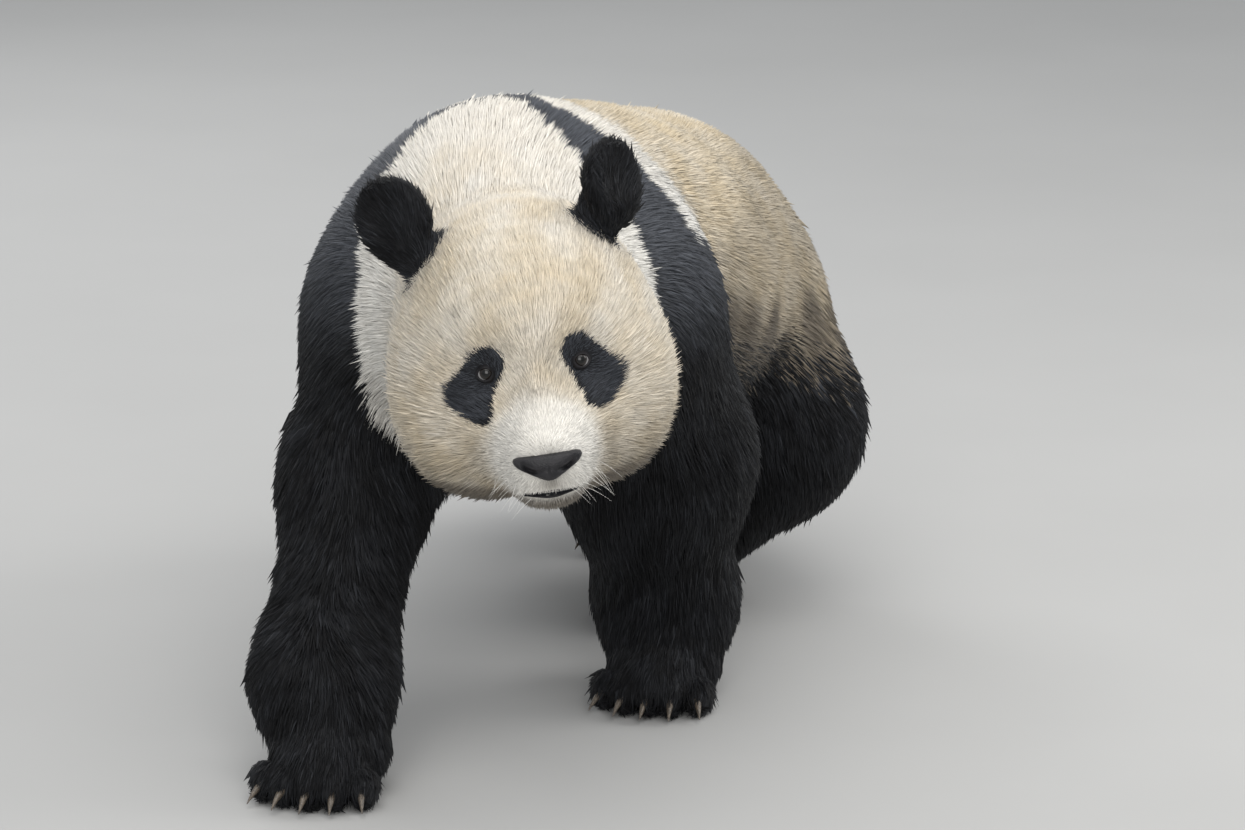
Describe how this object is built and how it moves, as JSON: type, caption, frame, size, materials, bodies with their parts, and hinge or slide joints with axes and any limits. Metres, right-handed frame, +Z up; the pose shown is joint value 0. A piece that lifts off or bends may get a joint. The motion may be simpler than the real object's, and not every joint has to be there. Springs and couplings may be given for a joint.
{
  "type": "giant panda",
  "caption": "Life-size giant panda standing in mid step, head low and turned to its left, with a thick coat, round ears and clawed paws.",
  "frame": {"origin": "on the floor, under the middle of the whole animal's box", "axes": "the body faces -Y, its left side is +X, +Z is up"},
  "size_m": [0.5452, 1.3918, 0.7319],
  "materials": {
    "white_fur": "matte cream fur",
    "black_fur": "matte black fur",
    "nose_leather": "damp pebbled skin",
    "eye": "wet and clear",
    "claw": "satin horn"
  },
  "bodies": {
    "root": {"head": "white_fur", "neck": "white_fur", "shoulders": "black_fur", "trunk": "white_fur", "tail": "white_fur", "ear_left": "black_fur", "ear_right": "black_fur", "eye_left": "eye", "eye_right": "eye", "nose": "nose_leather", "foreleg_left": "black_fur", "foreleg_right": "black_fur", "hindleg_left": "black_fur", "hindleg_right": "black_fur", "forepaw_left": "black_fur", "forepaw_right": "black_fur", "hindpaw_left": "black_fur", "hindpaw_right": "black_fur", "claw_forepaw_left_1": "claw", "claw_forepaw_left_2": "claw", "claw_forepaw_left_3": "claw", "claw_forepaw_left_4": "claw", "claw_forepaw_left_5": "claw", "claw_forepaw_right_1": "claw", "claw_forepaw_right_2": "claw", "claw_forepaw_right_3": "claw", "claw_forepaw_right_4": "claw", "claw_forepaw_right_5": "claw", "claw_hindpaw_left_1": "claw", "claw_hindpaw_left_2": "claw", "claw_hindpaw_left_3": "claw", "claw_hindpaw_left_4": "claw", "claw_hindpaw_left_5": "claw", "claw_hindpaw_right_1": "claw", "claw_hindpaw_right_2": "claw", "claw_hindpaw_right_3": "claw", "claw_hindpaw_right_4": "claw", "claw_hindpaw_right_5": "claw"}
  },
  "joints": []
}
